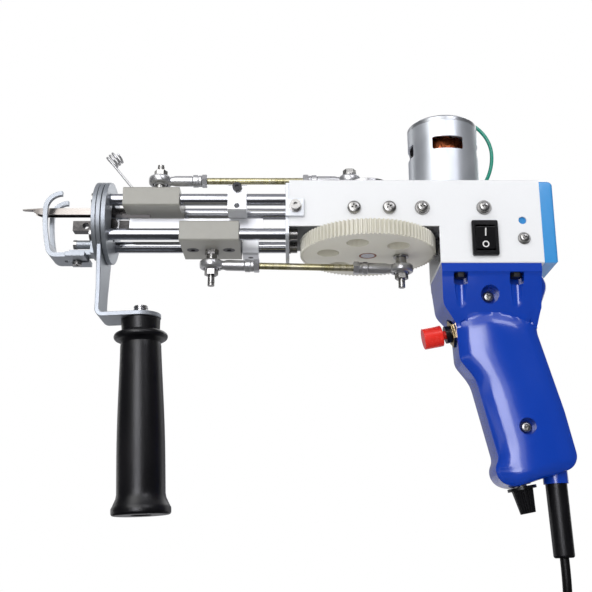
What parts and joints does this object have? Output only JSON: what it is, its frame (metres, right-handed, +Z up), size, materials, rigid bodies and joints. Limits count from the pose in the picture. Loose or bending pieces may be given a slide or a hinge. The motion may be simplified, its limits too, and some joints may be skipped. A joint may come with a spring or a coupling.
{
  "type": "handheld tufting machine",
  "caption": "Pistol-grip power tool that pushes a hollow needle and a pair of small scissors through cloth, driven by a top motor, a large gear and two connecting rods.",
  "frame": {"origin": "middle of the rear grip, where one hand holds the machine", "axes": "+X from the needle's nose towards the rear grip, +Z up towards the motor, -Y the side with the power switch"},
  "size_m": [0.3178, 0.08, 0.316],
  "materials": {
    "white_paint": "satin powder coat",
    "sky_plastic": "smooth",
    "steel_screw": "plain",
    "zinc": "zinc plated",
    "chrome": "polished",
    "black_rubber": "fine texture",
    "steel": "turned",
    "black_steel": "blackened",
    "aluminium": "plain",
    "black_screw": "black oxide",
    "gear_plastic": "satin",
    "bronze": "plain",
    "can_metal": "zinc plated",
    "cap_metal": "pressed",
    "iron": "laminated",
    "copper": "enamelled wire",
    "green_wire": "insulation",
    "blue_plastic": "glossy",
    "black_plastic": "matte",
    "brass": "plated",
    "red_plastic": "glossy",
    "board": "circuit board",
    "cord_black": "smooth jacket",
    "slider_plastic": "smooth",
    "needle_steel": "polished",
    "nickel": "nickel plated",
    "yellow_zinc": "yellow zinc plated"
  },
  "bodies": {
    "machine_frame": {"housing": "white_paint", "rear_cover": "sky_plastic", "housing_screws": "steel_screw", "front_plate": "zinc", "guide_rods": "chrome", "nose_screws": "steel_screw", "rear_disc": "zinc", "front_disc": "zinc", "foot_post": "zinc", "cutter_guide": "black_steel", "stop_blocks": "aluminium", "stop_screws": "black_screw", "bearing_block": "aluminium", "shaft_bearings": "steel", "motor_mount": "aluminium", "motor_can": "can_metal", "motor_cap": "cap_metal", "earth_wire": "green_wire", "grip_left": "blue_plastic", "grip_right": "blue_plastic", "grip_screws": "steel_screw", "switch_body": "black_plastic", "button_bush": "black_plastic", "button_nut": "brass", "speed_pot": "steel", "speed_board": "board", "cord_sleeve": "black_rubber", "cord": "cord_black", "cord_coil": "cord_black", "plug": "black_plastic", "coil_tie": "black_plastic"},
    "drive": {"drive_gear": "gear_plastic", "gear_bush": "bronze", "gear_shaft": "steel", "top_crank": "steel"},
    "rotor": {"armature": "iron", "windings": "copper", "pinion": "steel"},
    "needle_carriage": {"needle_slider": "slider_plastic", "needle": "needle_steel", "needle_slider_bolts": "steel_screw", "yarn_guide": "nickel"},
    "upper_link": {"upper_rod": "yellow_zinc", "upper_rod_ends": "nickel", "upper_crank_bolt": "steel_screw"},
    "scissors_carriage": {"scissors_slider": "slider_plastic", "scissors_bar": "aluminium", "scissors_slider_bolts": "black_screw", "fixed_blade": "black_steel"},
    "blade": {"moving_blade": "steel"},
    "lower_link": {"lower_rod": "yellow_zinc", "lower_rod_ends": "nickel", "lower_crank_bolt": "steel_screw"},
    "side_handle": {"handle_bracket": "zinc", "front_handle": "black_rubber", "handle_stud": "steel"},
    "foot": {"presser_foot": "zinc"},
    "rocker": {"rocker": "black_plastic"},
    "button": {"button_cap": "red_plastic"},
    "knob": {"speed_knob": "black_plastic"}
  },
  "joints": [
    {"name": "gear_turn", "type": "hinge", "parent": "machine_frame", "child": "drive", "pos_m": [-0.082, 0, 0.078], "axis": [0, 0, 1], "continuous": true},
    {"name": "rotor_turn", "type": "hinge", "parent": "machine_frame", "child": "rotor", "pos_m": [-0.0348, 0, 0.078], "axis": [0, 0, 1], "continuous": true},
    {"name": "needle_stroke", "type": "slide", "parent": "machine_frame", "child": "needle_carriage", "axis": [1, 0, 0], "range_m": [0, 0.02]},
    {"name": "upper_link_swing", "type": "hinge", "parent": "needle_carriage", "child": "upper_link", "pos_m": [-0.2066, 0, 0.1226], "axis": [0, 0, 1], "range_deg": [-5, 5]},
    {"name": "scissors_stroke", "type": "slide", "parent": "machine_frame", "child": "scissors_carriage", "axis": [-1, 0, 0], "range_m": [0, 0.0392]},
    {"name": "lower_link_swing", "type": "hinge", "parent": "scissors_carriage", "child": "lower_link", "pos_m": [-0.1744, 0, 0.0692], "axis": [0, 0, 1], "range_deg": [-10, 10]},
    {"name": "blade_close", "type": "hinge", "parent": "scissors_carriage", "child": "blade", "pos_m": [-0.234, 0, 0.0944], "axis": [0, -1, 0], "range_deg": [0, 12], "stiffness_Nm_per_rad": 0.02, "springref_deg": -5.73},
    {"name": "handle_turn", "type": "hinge", "parent": "machine_frame", "child": "side_handle", "pos_m": [-0.23815, 0, 0.09505], "axis": [1, 0, 0], "range_deg": [-90, 90]},
    {"name": "foot_depth", "type": "slide", "parent": "machine_frame", "child": "foot", "axis": [-1, 0, 0], "range_m": [-0.0036, 0.0056]},
    {"name": "rocker_tilt", "type": "hinge", "parent": "machine_frame", "child": "rocker", "pos_m": [-0.0165, -0.0227, 0.0777], "axis": [-1, 0, 0], "range_deg": [0, 20]},
    {"name": "button_press", "type": "slide", "parent": "machine_frame", "child": "button", "axis": [0.9816, 0, 0.1908], "range_m": [0, 0.0018], "stiffness_N_per_m": 1000, "springref_m": -0.001},
    {"name": "knob_turn", "type": "hinge", "parent": "machine_frame", "child": "knob", "pos_m": [-0.0005, 0, -0.0572], "axis": [0.1857, 0, -0.9826], "range_deg": [-150, 150]}
  ],
  "couplings": [
    {"joint": "rotor_turn", "follows": "gear_turn", "ratio": -4.9},
    {"joint": "scissors_stroke", "follows": "needle_stroke", "ratio": 1.96}
  ]
}
